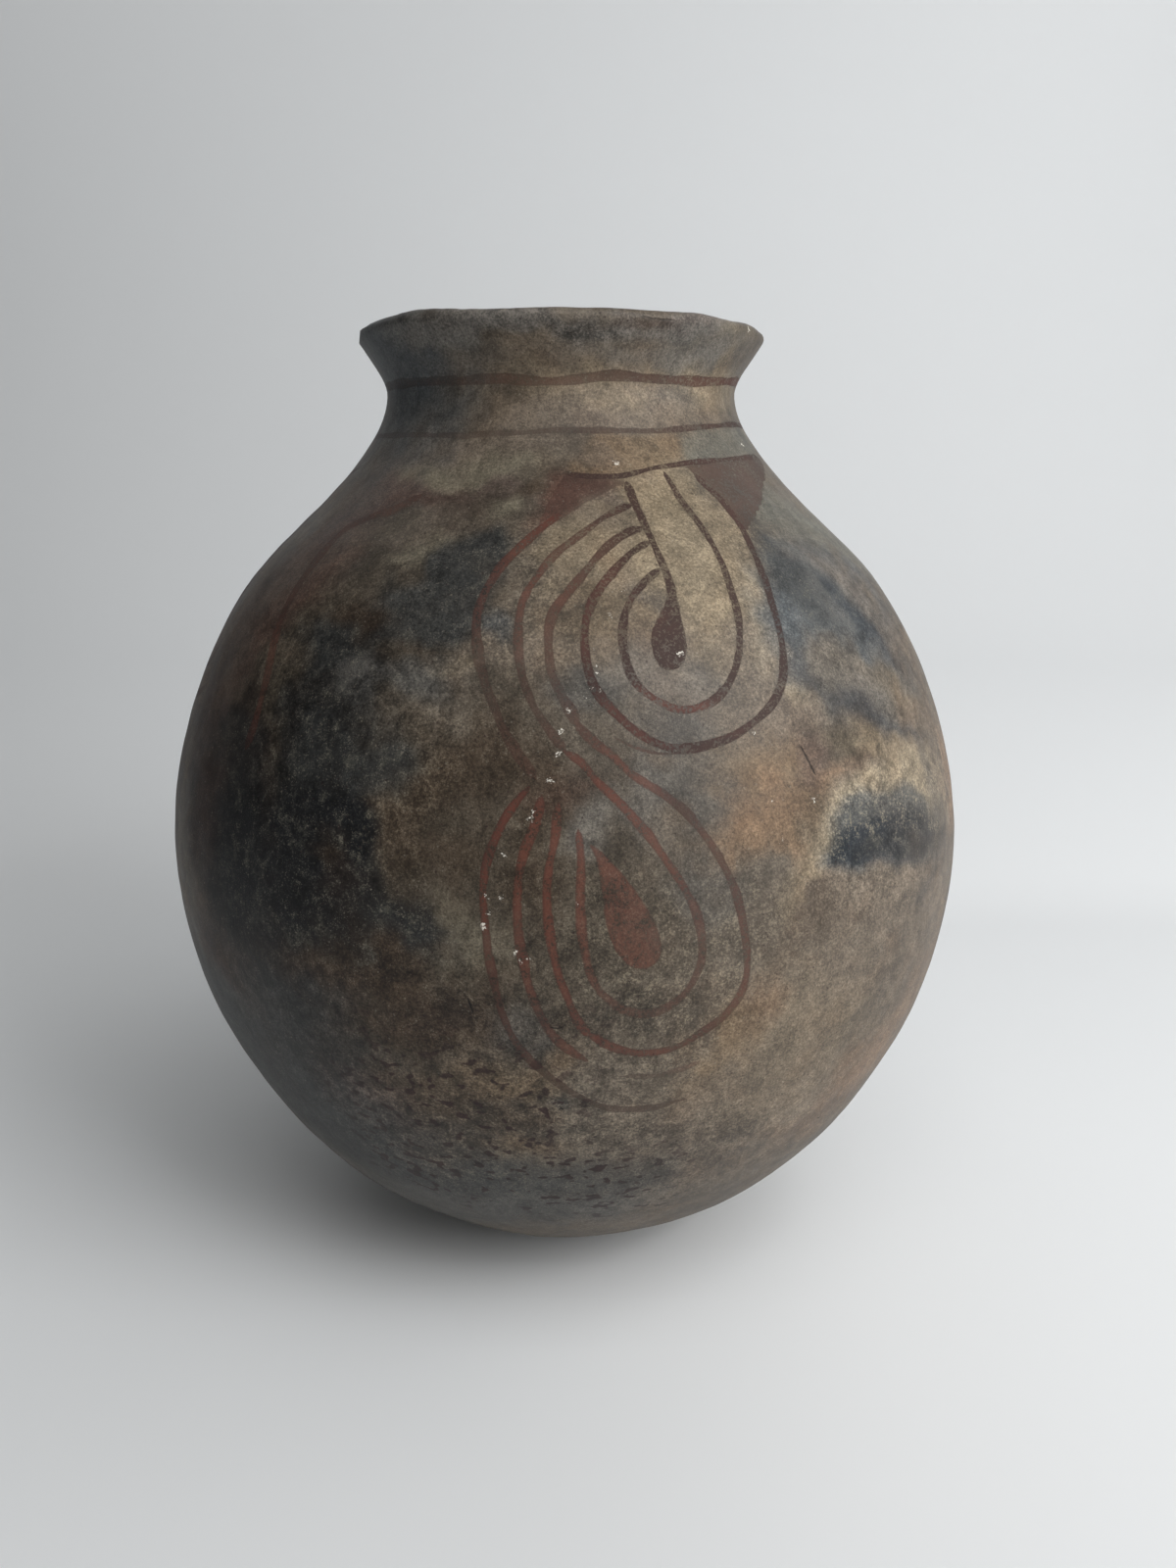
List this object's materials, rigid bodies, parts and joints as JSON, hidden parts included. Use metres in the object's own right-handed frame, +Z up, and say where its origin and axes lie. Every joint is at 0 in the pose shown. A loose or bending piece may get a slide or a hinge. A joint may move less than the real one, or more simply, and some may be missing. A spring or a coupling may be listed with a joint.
{
  "type": "round-bellied clay water jar",
  "caption": "Hand-built earthenware water jar with a round belly, short neck, flared lip and small flat base, painted with nested red-brown loops and clouded by the firing.",
  "frame": {"origin": "middle of the small flat that the jar stands on", "axes": "+Z up the neck; -Y is the side that faces the viewer in the picture, with the clearest painted loops; +X is the viewer's right"},
  "size_m": [0.3318, 0.3282, 0.379],
  "materials": {
    "burnished_earthenware": "burnished low-fired clay, brown to grey, with smoke clouds and matt red-brown slip lines"
  },
  "bodies": {
    "root": {"olla": "burnished_earthenware"}
  },
  "joints": []
}
